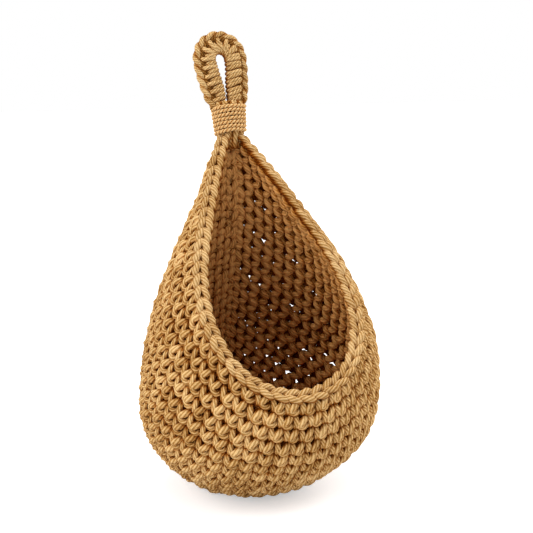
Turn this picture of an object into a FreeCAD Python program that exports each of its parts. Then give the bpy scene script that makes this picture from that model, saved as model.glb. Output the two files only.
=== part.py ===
"""Hanging crocheted basket: a leaning teardrop pocket, its edged mouth, a bound neck and a hanging loop.

Millimetres, +Z up. The origin is the centre of the flat base, the mouth faces -Y and the wall side is +Y.
Every cross-section of the pocket is a circle: its radius and its centre are formulas of the height. The fabric has a
ridge along each of its rounds, which lie one outside the other from an oval start at the lower back to the rim.
"""
import FreeCAD
import Part
import math
import os

# Pocket, outside
BASE_RADIUS = 44.0
BELLY_RADIUS = 103.0
BELLY_HEIGHT = 91.0
BELLY_FORWARD = 25.5
SHOULDER_HEIGHT = 200.0
SHOULDER_FORWARD = 18.0
BOWL_FULLNESS = 2.6
NECK_RADIUS = 12.0
NECK_HEIGHT = 304.0
NECK_SETBACK = 44.5
NECK_TILT = 14.0

# Pocket, fabric
WALL_THICKNESS = 9.0
FLOOR_THICKNESS = 9.0
BOWL_TOP_HEIGHT = 78.0
NECK_CLOSURE = 6.0

# Rounds of the fabric, their oval start on the lower back and the point from which they spread
ROUNDS = 18
ROUND_PROUD = 1.2
GROOVE_DEPTH = 2.5
START_FRONT = 22.0
START_BACK = 66.0
START_BOTTOM = 4.5
START_TOP = 62.0
START_WIDTH = 8.0
HEART_FORWARD = 8.0
HEART_HEIGHT = 118.0
BASE_CORNER_SOFTNESS = 5.0
FLOOR_FADE = 0.4
PLAIN_TOP = 20.0
ROUND_STEPS = 4
ROUND_LINES = 25
LINE_STEPS = 40

# Mouth and its edging
LIP_HEIGHT = 112.5
MOUTH_BOW = 2.0
EDGING_WIDTH = 11.0
EDGING_HEIGHT = 5.2
EDGING_SEAT = 0.3
RIM_STATIONS = 12

# Neck binding
GATHER_FOOT_RADIUS = 11.2
GATHER_TOP_RADIUS = 13.0
BINDING_CORD = 3.0
BINDING_PITCH = 3.45
BINDING_TURNS = 7
BINDING_CLEARANCE = 0.15
BINDING_MARGIN = 0.3

# Hanging loop
LOOP_WIDTH = 50.5
LOOP_HEIGHT = 65.0
LOOP_FOOT_WIDTH = 37.0
LOOP_THICKNESS = 12.0
LOOP_FOOT_CLEARANCE = 0.3
EYE_WIDTH = 8.6
EYE_TOP_BAND = 22.0
EYE_TIP_WIDTH = 2.4
EYE_TIP_HEIGHT = 11.0
EYE_ROUNDING = 2.5
CHAIN_WIDTH = 6.5
CHAIN_THICKNESS = 9.0
CHAIN_ROUNDING = 2.5

# Loft stations, as shares of the height below and above the belly
LOWER_STATIONS = (0.0, 0.12, 0.3, 0.6)
UPPER_STATIONS = (0.0, 0.25, 0.5, 0.75, 1.0)
SECTION_ARCS = 3

X_AXIS = FreeCAD.Vector(1, 0, 0)
Y_AXIS = FreeCAD.Vector(0, 1, 0)
Z_AXIS = FreeCAD.Vector(0, 0, 1)
ORIGIN = FreeCAD.Vector(0, 0, 0)


def outer_radius(height):
    """Outside radius of the pocket: a full bowl up to the belly, then a quarter cosine down to the neck."""
    if height < BELLY_HEIGHT:
        depth = 1 - height / BELLY_HEIGHT
        return BASE_RADIUS + (BELLY_RADIUS - BASE_RADIUS) * (1 - depth ** BOWL_FULLNESS)
    rise = (height - BELLY_HEIGHT) / (NECK_HEIGHT - BELLY_HEIGHT)
    return NECK_RADIUS + (BELLY_RADIUS - NECK_RADIUS) * math.cos(math.pi / 2 * rise)


def outer_slope(height):
    """Change of the outside radius for each millimetre of height."""
    if height < BELLY_HEIGHT:
        depth = 1 - height / BELLY_HEIGHT
        return (BELLY_RADIUS - BASE_RADIUS) * BOWL_FULLNESS * depth ** (BOWL_FULLNESS - 1) / BELLY_HEIGHT
    quarter = math.pi / 2 / (NECK_HEIGHT - BELLY_HEIGHT)
    return -(BELLY_RADIUS - NECK_RADIUS) * quarter * math.sin(quarter * (height - BELLY_HEIGHT))


def centre_y(height):
    """Centre line: a cubic from the base, forward through the belly and the shoulder, back to the neck."""
    lower = -BELLY_FORWARD / BELLY_HEIGHT
    middle = (BELLY_FORWARD - SHOULDER_FORWARD) / (SHOULDER_HEIGHT - BELLY_HEIGHT)
    upper = (SHOULDER_FORWARD + NECK_SETBACK) / (NECK_HEIGHT - SHOULDER_HEIGHT)
    lower_bend = (middle - lower) / SHOULDER_HEIGHT
    upper_bend = (upper - middle) / (NECK_HEIGHT - BELLY_HEIGHT)
    twist = (upper_bend - lower_bend) / NECK_HEIGHT
    past_belly = height - BELLY_HEIGHT
    return height * (lower + past_belly * (lower_bend + twist * (height - SHOULDER_HEIGHT)))


def inner_radius(height):
    """Inside radius: the fabric keeps its thickness square to the sloping wall."""
    return outer_radius(height) - WALL_THICKNESS * math.hypot(1, outer_slope(height))


def neck_axis():
    """Direction of the bound neck, which leans back towards the wall."""
    tilt = math.radians(NECK_TILT)
    return FreeCAD.Vector(0, math.sin(tilt), math.cos(tilt))


def station_heights(bottom, top):
    """Heights of the loft sections between a bottom and a top level."""
    lower = [bottom + share * (BELLY_HEIGHT - bottom) for share in LOWER_STATIONS]
    upper = [BELLY_HEIGHT + share * (top - BELLY_HEIGHT) for share in UPPER_STATIONS]
    return lower + upper


def section(radius, height, normal):
    """One circular section of the pocket, in arcs that start at its back."""
    centre = FreeCAD.Vector(0, centre_y(height), height)
    back = normal.cross(X_AXIS)
    step = math.pi / SECTION_ARCS
    points = [centre + (back * math.cos(turn * step) + X_AXIS * math.sin(turn * step)) * radius
              for turn in range(2 * SECTION_ARCS + 1)]
    arcs = [Part.Arc(*points[start:start + 3]).toShape() for start in range(0, 2 * SECTION_ARCS, 2)]
    return Part.Wire(arcs)


def pocket_outside():
    """Solid of the pocket's outside. Its top face is square to the neck."""
    heights = station_heights(0, NECK_HEIGHT)
    normals = [Z_AXIS] * (len(heights) - 1) + [neck_axis()]
    sections = [section(outer_radius(z), z, normal) for z, normal in zip(heights, normals)]
    return Part.makeLoft(sections, True, False)


def pocket_inside():
    """Solid of the space in the pocket, from the floor to where the neck closes."""
    heights = station_heights(FLOOR_THICKNESS, NECK_HEIGHT - NECK_CLOSURE)
    sections = [section(inner_radius(z), z, Z_AXIS) for z in heights]
    return Part.makeLoft(sections, True, False)


def slab(bottom, top):
    """Level slab that is wider than the pocket."""
    reach = 2 * (BELLY_RADIUS + BELLY_FORWARD + NECK_SETBACK)
    corner = FreeCAD.Vector(-reach, -reach, bottom)
    return Part.makeBox(2 * reach, 2 * reach, top - bottom, corner)


def middle_radius(height):
    """Radius of the middle of the fabric."""
    return (outer_radius(height) + inner_radius(height)) / 2


def mouth_circle(lip_lift=0.0):
    """Centre and radius of the mouth's side view: an arc from the lip to the neck, bowed forward."""
    lip = FreeCAD.Vector(0, centre_y(LIP_HEIGHT) - middle_radius(LIP_HEIGHT), LIP_HEIGHT + lip_lift)
    apex = FreeCAD.Vector(0, NECK_SETBACK, NECK_HEIGHT)
    chord = apex - lip
    outward = FreeCAD.Vector(0, -chord.z, chord.y).normalize()
    radius = (chord.Length ** 2 / 4 + MOUTH_BOW ** 2) / (2 * MOUTH_BOW)
    return (lip + apex) * 0.5 + outward * (MOUTH_BOW - radius), radius


def rough_mouth():
    """Large drum along X whose front is the mouth's first cut, higher than the rim at the lip."""
    centre, radius = mouth_circle(WALL_THICKNESS)
    half_length = 2 * BELLY_RADIUS
    return Part.makeCylinder(radius, 2 * half_length, centre - X_AXIS * half_length, X_AXIS)


def rim_point(share):
    """Point of the rim on the middle of the fabric: share 0 is the lip, -1 and 1 are the neck's two sides."""
    height = LIP_HEIGHT + (NECK_HEIGHT - LIP_HEIGHT) * share ** 2
    centre, radius = mouth_circle()
    y = centre.y - math.sqrt(radius ** 2 - (height - centre.z) ** 2)
    half_width = math.sqrt(max(middle_radius(height) ** 2 - (y - centre_y(height)) ** 2, 0))
    return FreeCAD.Vector(math.copysign(half_width, share), y, height)


def rim_frame(share):
    """Point of the rim, the fabric's outward normal there and the way towards the mouth's middle."""
    step = 0.5 / RIM_STATIONS
    point = rim_point(share)
    along = rim_point(share + step) - rim_point(share - step)
    rise = 0.5
    drift = (centre_y(point.z + rise) - centre_y(point.z - rise)) / (2 * rise)
    offset = point.y - centre_y(point.z)
    reach = math.hypot(point.x, offset)
    slant = -offset * drift / reach - outer_slope(point.z)
    normal = FreeCAD.Vector(point.x / reach, offset / reach, slant).normalize()
    inward = normal.cross(along).normalize()
    return point, normal, inward


def rim_sweep(shares, profile):
    """Smooth solid through one profile at each share of the rim."""
    return Part.makeLoft([profile(*rim_frame(share)) for share in shares], True, False)


def trim_profile(point, normal, inward):
    """Section of the fabric to take off the rim, so that its edge is square to the wall."""
    across = normal * WALL_THICKNESS
    ahead = inward * (3 * WALL_THICKNESS)
    corners = [point - across, point + across, point + across + ahead, point - across + ahead]
    return Part.makePolygon(corners + corners[:1])


def bead_profile(point, normal, inward):
    """Section of the edging: flat, a little under the rim, and round above it."""
    seat = point - inward * EDGING_SEAT
    left = seat - normal * (EDGING_WIDTH / 2)
    right = seat + normal * (EDGING_WIDTH / 2)
    crown = Part.Arc(right, point + inward * EDGING_HEIGHT, left).toShape()
    return Part.Wire([Part.makeLine(left, right), crown])


def rim_shares(first):
    """Even shares of the rim from the first one to a little past the right side of the neck."""
    return [step / RIM_STATIONS for step in range(first, RIM_STATIONS + 2)]


def mirrored(shape):
    """The same shape on the other side of the basket's middle plane."""
    return shape.mirror(ORIGIN, X_AXIS)


def outwardness(point):
    """How far a point lies outside the middle of the fabric, with the turn from the floor to the wall softened."""
    height = min(max(point.z, 0), NECK_HEIGHT)
    side = math.hypot(point.x, point.y - centre_y(height)) - middle_radius(height) + max(point.z - NECK_HEIGHT, 0)
    under = FLOOR_THICKNESS / 2 - point.z
    softening = BASE_CORNER_SOFTNESS * math.log1p(math.exp(-abs(side - under) / BASE_CORNER_SOFTNESS))
    return max(side, under) + softening


def outward(point):
    """Direction square to the fabric."""
    step = 0.05
    slopes = [outwardness(point + axis * step) - outwardness(point - axis * step) for axis in (X_AXIS, Y_AXIS, Z_AXIS)]
    return FreeCAD.Vector(*slopes).normalize()


def fabric_point(heart, direction):
    """Where a ray from the heart of the pocket meets the middle of the fabric."""
    near, far = 0.0, NECK_HEIGHT
    for _ in range(30):
        half = (near + far) / 2
        if outwardness(heart + direction * half) < 0:
            near = half
        else:
            far = half
    return heart + direction * near


def spaced(points, count):
    """Points that divide a line through given points evenly, both ends included."""
    runs = [0.0]
    for start, end in zip(points, points[1:]):
        runs.append(runs[-1] + start.distanceToPoint(end))
    found, index = [], 0
    for number in range(count):
        wanted = runs[-1] * number / (count - 1)
        while index < len(runs) - 2 and runs[index + 1] < wanted:
            index += 1
        part = (wanted - runs[index]) / (runs[index + 1] - runs[index])
        found.append(points[index] + (points[index + 1] - points[index]) * part)
    return found


def fabric_border():
    """Half of the pocket's upper border: from the lip up the right rim and round to the back of the neck."""
    fine = 4 * ROUND_LINES
    rim = [rim_point(step / fine) for step in range(fine + 1)]
    radius = rim[-1].x
    bends = [math.pi / 2 * step / 8 for step in range(1, 9)]
    back = [FreeCAD.Vector(radius * math.cos(bend), NECK_SETBACK + radius * math.sin(bend), NECK_HEIGHT)
            for bend in bends]
    return spaced(rim + back, ROUND_LINES)


def fabric_lines():
    """Lines over the right half of the fabric from its oval start to its border, divided evenly into rounds."""
    heart = FreeCAD.Vector(0, -HEART_FORWARD, HEART_HEIGHT)
    low = FreeCAD.Vector(0, START_FRONT, START_BOTTOM)
    high = FreeCAD.Vector(0, START_BACK, START_TOP)
    lines = []
    for number, end in enumerate(fabric_border()):
        share = number / (ROUND_LINES - 1)
        beside = X_AXIS * (START_WIDTH / 2 * math.sin(math.pi * share))
        start = low + (high - low) * share + beside
        first, last = (start - heart).normalize(), (end - heart).normalize()
        turn = first.getAngle(last)
        rays = []
        for step in range(LINE_STEPS + 1):
            gone = turn * step / LINE_STEPS
            rays.append((first * math.sin(turn - gone) + last * math.sin(gone)).normalize())
        lines.append(spaced([fabric_point(heart, ray) for ray in rays], ROUND_STEPS * ROUNDS + 1))
    return lines


def floor_share(height):
    """Share of the fabric's inner half that is kept: less on the floor, where the base round is, and all above it."""
    rise = min(max(height / FLOOR_THICKNESS - 1, 0), 1)
    return FLOOR_FADE + (1 - FLOOR_FADE) * rise * rise * (3 - 2 * rise)


def fabric_skin(lines, inside):
    """Right half of the fabric's outside or inside, which stands out along each round and lies lower between two."""
    rows = []
    for step in range(ROUND_STEPS * ROUNDS + 1):
        wave = (1 - math.cos(2 * math.pi * step / ROUND_STEPS)) / 2
        reach = WALL_THICKNESS / 2 - GROOVE_DEPTH + (ROUND_PROUD + GROOVE_DEPTH) * wave
        points = [line[step] for line in lines]
        reaches = [-reach * floor_share(point.z) if inside else reach for point in points]
        rows.append([point + outward(point) * distance for point, distance in zip(points, reaches)])
    skin = Part.BSplineSurface()
    skin.interpolate(rows)
    return skin


def ribbed_fabric():
    """The pocket's fabric with its rounds: an outside and an inside skin on each half, joined at the rim and start."""
    lines = fabric_lines()
    skins = [fabric_skin(lines, inside) for inside in (False, True)]
    borders = [skin.uIso(skin.bounds()[1]).toShape() for skin in skins]
    half = [skin.toShape() for skin in skins] + [Part.makeRuledSurface(*borders)]
    starts = [skin.uIso(skin.bounds()[0]).toShape() for skin in skins]
    strips = [Part.makeRuledSurface(start, mirrored(start)) for start in starts]
    joined = Part.makeCompound(half + [mirrored(face) for face in half] + strips)
    joined.sewShape(0.01)
    return Part.Solid(joined.Shells[0])


def above_neck():
    """Block above the neck's face."""
    reach = BELLY_RADIUS + LOOP_HEIGHT
    block = Part.makeBox(2 * reach, 2 * reach, reach, FreeCAD.Vector(-reach, -reach, 0))
    return on_neck(block)


def plain_top():
    """The top of the hood under the neck, where the rounds are drawn together and can't be told apart."""
    trim = rim_sweep(rim_shares(0), trim_profile)
    top = pocket_outside().cut(pocket_inside()).common(slab(NECK_HEIGHT - PLAIN_TOP, 2 * NECK_HEIGHT))
    return top.common(rough_mouth()).cut(trim).cut(mirrored(trim))


def pocket_pieces():
    """Base round, bowl wall and hood wall: one fabric, divided at the floor and under the lip."""
    fabric = ribbed_fabric()
    base = pocket_outside().common(slab(0, FLOOR_THICKNESS))
    bowl = fabric.common(slab(-NECK_HEIGHT, BOWL_TOP_HEIGHT)).cut(slab(-2 * NECK_HEIGHT, FLOOR_THICKNESS))
    hood = fabric.common(slab(BOWL_TOP_HEIGHT, NECK_HEIGHT - PLAIN_TOP)).fuse(plain_top())
    return base, bowl, hood


def mouth_edging(hood):
    """Chain edging: one bead along the rim, from one side of the neck to the other, seated on the hood."""
    return rim_sweep(rim_shares(-RIM_STATIONS - 1), bead_profile).cut(above_neck()).cut(hood)


def binding_height():
    """Height of the neck that the turns cover."""
    return BINDING_TURNS * BINDING_PITCH + BINDING_CORD + 2 * BINDING_MARGIN


def neck_gather():
    """Gathered fabric and the sewn-in feet of the loop, under the binding."""
    return Part.makeCone(GATHER_FOOT_RADIUS, GATHER_TOP_RADIUS, binding_height())


def binding_point(turn):
    """Point and direction of the binding's middle line after a number of turns from the back of the neck."""
    angle = 2 * math.pi * turn + math.pi / 2
    height = BINDING_MARGIN + BINDING_CORD / 2 + BINDING_PITCH * turn
    widening = (GATHER_TOP_RADIUS - GATHER_FOOT_RADIUS) / binding_height()
    half_angle = math.atan(widening)
    stand_off = (BINDING_CORD / 2 + BINDING_CLEARANCE) / math.cos(half_angle)
    radius = GATHER_FOOT_RADIUS + widening * height + stand_off
    radial = FreeCAD.Vector(math.cos(angle), math.sin(angle), 0)
    along = FreeCAD.Vector(-math.sin(angle), math.cos(angle), 0)
    climb = BINDING_PITCH / (2 * math.pi)
    direction = along * radius + radial * (widening * climb) + Z_AXIS * climb
    return radial * radius + Z_AXIS * height, direction.normalize()


def tangent_arc(start, reach, end):
    """Arc from start to end that leaves and arrives along the lines to the corner point, reach."""
    middle = (start + end) * 0.5
    half_chord = (end - start).Length / 2
    half_turn = math.acos(half_chord / (reach - start).Length)
    share = math.tan(half_turn / 2) / math.tan(half_turn)
    return Part.Arc(start, middle + (reach - middle) * share, end).toShape()


def biarc(start, start_direction, end, end_direction):
    """Two arcs that meet smoothly and hold the directions at both ends."""
    chord = end - start
    total = start_direction + end_direction
    spread = 2 * (start_direction.dot(end_direction) - 1)
    half = chord.dot(total)
    reach = (half - math.sqrt(half ** 2 - spread * chord.dot(chord))) / spread
    first = start + start_direction * reach
    second = end - end_direction * reach
    joint = (first + second) * 0.5
    return [tangent_arc(start, first, joint), tangent_arc(joint, second, end)]


def binding_path():
    """Middle line of the binding: half-turn biarcs, with a straight end of one cord width at each side."""
    knots = [binding_point(half / 2) for half in range(2 * BINDING_TURNS + 1)]
    first, first_direction = knots[0]
    last, last_direction = knots[-1]
    edges = [Part.makeLine(first - first_direction * BINDING_CORD, first)]
    for (start, start_direction), (end, end_direction) in zip(knots, knots[1:]):
        edges += biarc(start, start_direction, end, end_direction)
    edges.append(Part.makeLine(last, last + last_direction * BINDING_CORD))
    return Part.Wire(edges)


def neck_binding(path):
    """Round cord swept along the binding's middle line."""
    start = path.OrderedVertexes[0].Point
    direction = binding_point(0)[1]
    profile = Part.Wire(Part.makeCircle(BINDING_CORD / 2, start, direction))
    return path.makePipeShell([profile], True, False)


def least_self_gap(path):
    """Least clear distance between two turns of the binding, measured on points of its middle line."""
    steps = 64
    points = path.discretize(Number=steps * BINDING_TURNS + 1)
    pairs = [(a, b) for i, a in enumerate(points) for b in points[i + steps // 2:]]
    return min(a.distanceToPoint(b) for a, b in pairs) - BINDING_CORD


def hinge_height():
    """Height of the loop's bending line above the base of the neck."""
    return binding_height() + LOOP_FOOT_CLEARANCE + LOOP_THICKNESS / 2


def flat_point(x, z):
    """Point of the loop's middle plane."""
    return FreeCAD.Vector(x, 0, z)


def arch_face(inset):
    """Outline of the loop, moved in by a distance: a round top and two straight sides to the foot."""
    radius = LOOP_WIDTH / 2
    top = binding_height() + LOOP_HEIGHT - radius
    foot = LOOP_FOOT_WIDTH / 2
    drop = top - hinge_height()
    lean = math.atan2(-drop, foot) + math.acos(radius / math.hypot(foot, drop))
    radius -= inset
    foot -= inset / math.cos(lean)
    side_x = radius * math.cos(lean)
    side_z = top + radius * math.sin(lean)
    arc = Part.Arc(flat_point(side_x, side_z), flat_point(0, top + radius), flat_point(-side_x, side_z)).toShape()
    left = Part.makeLine(flat_point(-side_x, side_z), flat_point(-foot, hinge_height()))
    bottom = Part.makeLine(flat_point(-foot, hinge_height()), flat_point(foot, hinge_height()))
    right = Part.makeLine(flat_point(foot, hinge_height()), flat_point(side_x, side_z))
    return Part.Face(Part.Wire([arc, left, bottom, right])), foot


def eye_face():
    """Teardrop eye: a round top and a small round tip, joined by their common tangents."""
    top_radius = EYE_WIDTH / 2
    tip_radius = EYE_TIP_WIDTH / 2
    top = binding_height() + LOOP_HEIGHT - EYE_TOP_BAND - top_radius
    tip = binding_height() + EYE_TIP_HEIGHT + tip_radius
    lean = math.asin((top_radius - tip_radius) / (top - tip))
    corners = [(radius * math.cos(lean), middle - radius * math.sin(lean))
               for radius, middle in ((top_radius, top), (tip_radius, tip))]
    (top_x, top_z), (tip_x, tip_z) = corners
    over = Part.Arc(flat_point(top_x, top_z), flat_point(0, top + top_radius), flat_point(-top_x, top_z)).toShape()
    left = Part.makeLine(flat_point(-top_x, top_z), flat_point(-tip_x, tip_z))
    under = Part.Arc(flat_point(-tip_x, tip_z), flat_point(0, tip - tip_radius), flat_point(tip_x, tip_z)).toShape()
    right = Part.makeLine(flat_point(tip_x, tip_z), flat_point(top_x, top_z))
    return Part.Face(Part.Wire([over, left, under, right]))


def plate(face, thickness):
    """Plate of a thickness on both sides of the loop's middle plane."""
    plain = face.extrude(Y_AXIS * thickness)
    plain.translate(Y_AXIS * (-thickness / 2))
    return plain


def rim_edges(solid, face, thickness):
    """Edges of a plate that run along an outline, on its front and back."""
    found = []
    for edge in solid.Edges:
        middle = edge.valueAt((edge.FirstParameter + edge.LastParameter) / 2)
        on_side = abs(abs(middle.y) - thickness / 2) < 1e-6
        in_plane = Part.Vertex(flat_point(middle.x, middle.z))
        if on_side and min(side.distToShape(in_plane)[0] for side in face.Edges[:4]) < 1e-6:
            found.append(edge)
    return found


def loop_strap():
    """Crocheted strap with its eye. The foot is round about the bending line, so it can lean."""
    face, foot = arch_face(CHAIN_WIDTH)
    eye = eye_face()
    strap = plate(face, LOOP_THICKNESS).cut(plate(eye, LOOP_THICKNESS))
    strap = strap.makeFillet(EYE_ROUNDING, rim_edges(strap, eye, LOOP_THICKNESS))
    roller = Part.makeCylinder(LOOP_THICKNESS / 2, 2 * foot, flat_point(-foot, hinge_height()), X_AXIS)
    lower_half = roller.common(slab(0, hinge_height()))
    return strap.fuse(lower_half).removeSplitter()


def loop_edge_chain():
    """Chain along the loop's outer edge, seated on the strap."""
    outline = arch_face(0)[0]
    band = plate(outline, CHAIN_THICKNESS).cut(plate(arch_face(CHAIN_WIDTH)[0], CHAIN_THICKNESS))
    outer = [edge for edge in rim_edges(band, outline, CHAIN_THICKNESS) if edge.BoundBox.ZLength > CHAIN_WIDTH]
    return band.makeFillet(CHAIN_ROUNDING, outer)


def on_neck(shape):
    """Move a piece from the neck's own axis to its place on the pocket."""
    placed = shape.copy()
    placed.rotate(ORIGIN, X_AXIS, -NECK_TILT)
    placed.translate(FreeCAD.Vector(0, NECK_SETBACK, NECK_HEIGHT))
    return placed


def main():
    """Build every piece, write it and print the measured gap and the bending line."""
    os.makedirs("parts", exist_ok=True)
    base, bowl, hood = pocket_pieces()
    path = binding_path()
    pieces = {
        "base_round": base,
        "bowl_wall": bowl,
        "hood_wall": hood,
        "mouth_edging": mouth_edging(hood),
        "neck_gather": on_neck(neck_gather()),
        "neck_binding": on_neck(neck_binding(path)),
        "loop_strap": on_neck(loop_strap()),
        "loop_edge_chain": on_neck(loop_edge_chain()),
    }
    for name, shape in pieces.items():
        shape.exportStep("parts/" + name + ".step")
        print(name, "solids", len(shape.Solids), "valid", shape.isValid(), "volume", round(shape.Volume))
    print("least gap of the binding to itself", round(least_self_gap(path), 3))
    hinge = FreeCAD.Vector(0, NECK_SETBACK, NECK_HEIGHT) + neck_axis() * hinge_height()
    print("bending line of the loop", [round(value, 3) for value in hinge])


main()
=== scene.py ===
"""Looks of a crocheted hanging fruit basket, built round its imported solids.

The pocket is worked in rounds of cord from an oval start at its lower back to the slanted mouth, which has a
chain edging. The neck is bound with a thinner twisted cord, and a crocheted loop rises from the binding.
Sizes are in millimetres until a mesh is made, and the frame is the part's own: +Z up, mouth towards -Y.
"""

import logging
import math
from collections.abc import Callable
from dataclasses import dataclass, field
from enum import Enum
from functools import cache
from typing import Any

import bpy
import numpy as np
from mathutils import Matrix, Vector
from numpy.typing import NDArray

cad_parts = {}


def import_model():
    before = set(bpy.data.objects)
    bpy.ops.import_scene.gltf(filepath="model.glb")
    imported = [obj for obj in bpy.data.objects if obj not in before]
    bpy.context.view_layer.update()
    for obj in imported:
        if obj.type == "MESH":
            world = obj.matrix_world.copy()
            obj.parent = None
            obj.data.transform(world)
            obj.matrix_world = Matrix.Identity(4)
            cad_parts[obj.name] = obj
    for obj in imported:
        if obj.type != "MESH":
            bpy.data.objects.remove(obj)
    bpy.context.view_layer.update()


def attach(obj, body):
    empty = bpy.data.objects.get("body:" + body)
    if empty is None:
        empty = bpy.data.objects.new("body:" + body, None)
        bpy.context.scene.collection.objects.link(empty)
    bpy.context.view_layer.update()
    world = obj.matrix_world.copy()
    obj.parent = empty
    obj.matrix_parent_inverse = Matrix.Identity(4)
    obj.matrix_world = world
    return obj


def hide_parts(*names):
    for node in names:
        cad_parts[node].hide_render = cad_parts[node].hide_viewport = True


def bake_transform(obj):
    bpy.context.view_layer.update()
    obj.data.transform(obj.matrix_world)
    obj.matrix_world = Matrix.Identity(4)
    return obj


Array = NDArray[np.float64]
Indices = NDArray[np.int64]
Pair = tuple[float, float]
Triple = tuple[float, float, float]
Place = Callable[[Array, Array], tuple[Array, ...]]

MM = 0.001
FULL_TURN = 2 * math.pi
GROWTH_STEP = 0.01
ROWS_PER_SEED = 1000
# Painted shade: a dark tone for cords that only show in the shade between others.
HIDDEN_PAINTED_SHADE = -2.5
FLOOR_SIZE = 5.0
SENSOR_WIDTH = 36.0
CORD_MAP = "cord"
# Point attributes: the tone is each cord's random tone with painted shade and painted light added; the warmth is
# painted warm shade.
TONE_AND_PAINTED_SHADE = "tone"
PAINTED_SHADE_WARMTH = "warmth"
LOG = logging.getLogger("basket")


class Slot(Enum):
    """The record's material slots."""

    POCKET = "pocket_cord"
    EDGING = "edging_cord"
    BINDING = "binding_cord"
    LOOP = "loop_cord"


class Body(Enum):
    """The part's bodies."""

    BASKET = "basket"
    LOOP = "loop"


def unit(vectors: Array) -> Array:
    """Each vector divided by its length."""
    return vectors / np.linalg.norm(vectors, axis=-1, keepdims=True)


def smooth(values: Array, low: float, high: float) -> Array:
    """A smooth step from nought at the low value to one at the high value."""
    share = np.clip((values - low) / (high - low), 0, 1)
    return share * share * (3 - 2 * share)


def growth(function: Callable[[Array], Array], z: Array) -> Array:
    """How fast a function of the height grows, from its values a short step above and below."""
    return (function(z + GROWTH_STEP) - function(z - GROWTH_STEP)) / (2 * GROWTH_STEP)


def run_along(line: Array) -> Array:
    """The length run along a line from its first point to each of its points."""
    return np.concatenate([[0.0], np.cumsum(np.linalg.norm(np.diff(line, axis=0), axis=1))])


def respaced(line: Array, count: int) -> Array:
    """Divides a line into equal lengths, its new points read between the old ones in proportion.

    Args:
        line: its points.
        count: points wanted, both ends included.

    Returns:
        The new points.
    """
    run = run_along(line)
    wanted = np.linspace(0, run[-1], count)
    return np.stack([np.interp(wanted, run, values) for values in line.T], -1)


def wandering(draw: np.random.Generator, run: Array, step: float, spare: int, spread: Pair) -> Array:
    """Values that wander along a line: random ones at equal steps, read between them in proportion.

    Args:
        draw: gives the random values.
        run: places along the line.
        step: length from one random value to the next.
        spare: steps past the line's end.
        spread: mean and standard deviation of the random values.

    Returns:
        A value for each place.
    """
    stations = np.arange(0, run[-1] + spare * step, step)
    return np.interp(run, stations, draw.normal(*spread, len(stations)))


def linked(name: str, data: bpy.types.ID) -> bpy.types.Object:
    """A new object at the origin, linked to the scene."""
    made = bpy.data.objects.new(name, data)
    bpy.context.scene.collection.objects.link(made)
    return made


@dataclass
class Mesh:
    """Faces on points in millimetres, with a map along and round the cord, and for each point a tone with painted
    shade and painted light in it, and a painted warm shade.
    """

    points: Array
    faces: list[Indices]
    maps: list[Array]
    tones_and_painted_shade: Array
    painted_shade_warmths: Array

    @staticmethod
    def joined(meshes: list["Mesh"]) -> "Mesh":
        """One mesh of several, with their points numbered on.

        Args:
            meshes: the meshes in order.

        Returns:
            The new mesh.
        """
        starts = np.cumsum([0] + [len(m.points) for m in meshes])
        return Mesh(
            np.concatenate([m.points for m in meshes]),
            [f + s for m, s in zip(meshes, starts) for f in m.faces],
            [u for m in meshes for u in m.maps],
            np.concatenate([m.tones_and_painted_shade for m in meshes]),
            np.concatenate([m.painted_shade_warmths for m in meshes]),
        )

    def ringed(self, corners: int, count: int) -> tuple[Array, Array]:
        """A tube's points ring by ring, and their directions from the middles of their rings."""
        rings = self.points[: count * corners].reshape(-1, corners, 3)
        return rings, unit(rings - rings.mean(1, keepdims=True))

    def built(self, name: str) -> bpy.types.Object:
        """Puts the arrays into a smooth shaded object at the origin.

        Args:
            name: the piece's name.

        Returns:
            The new object, linked to the scene.
        """
        totals = np.concatenate([np.full(len(f), f.shape[1]) for f in self.faces])
        LOG.info("%s: %d triangles", name, (totals - 2).sum())
        mesh = bpy.data.meshes.new(name)
        mesh.vertices.add(len(self.points))
        mesh.vertices.foreach_set("co", (self.points * MM).astype(np.float32).ravel())
        corners = np.concatenate([f.ravel() for f in self.faces])
        mesh.loops.add(len(corners))
        mesh.loops.foreach_set("vertex_index", corners.astype(np.int32))
        mesh.polygons.add(len(totals))
        mesh.polygons.foreach_set("loop_start", (np.cumsum(totals) - totals).astype(np.int32))
        mesh.polygons.foreach_set("loop_total", totals.astype(np.int32))
        mesh.polygons.foreach_set("use_smooth", np.ones(len(totals), dtype=bool))
        mesh.update(calc_edges=True)
        flat = np.concatenate([u.reshape(-1, 2) for u in self.maps])
        mesh.uv_layers.new(name=CORD_MAP).data.foreach_set("uv", flat.astype(np.float32).ravel())
        for title, values in ((TONE_AND_PAINTED_SHADE, self.tones_and_painted_shade), (PAINTED_SHADE_WARMTH, self.painted_shade_warmths)):
            layer = mesh.attributes.new(title, "FLOAT", "POINT")
            layer.data.foreach_set("value", values.astype(np.float32))
        mesh.validate()
        return linked(name, mesh)


def dressed(mesh: Mesh, name: str, slot: Slot, node: str) -> bpy.types.Object:
    """Makes a piece of a mesh, gives it its finish and slot, and hides the solid that it stands for.

    Args:
        mesh: the piece's mesh.
        name: the piece's name.
        slot: its slot.
        node: the solid's name.

    Returns:
        The piece.
    """
    piece = mesh.built(name)
    piece.data.materials.append(FINISHES[slot].material())
    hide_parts(node)
    return piece


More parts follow.
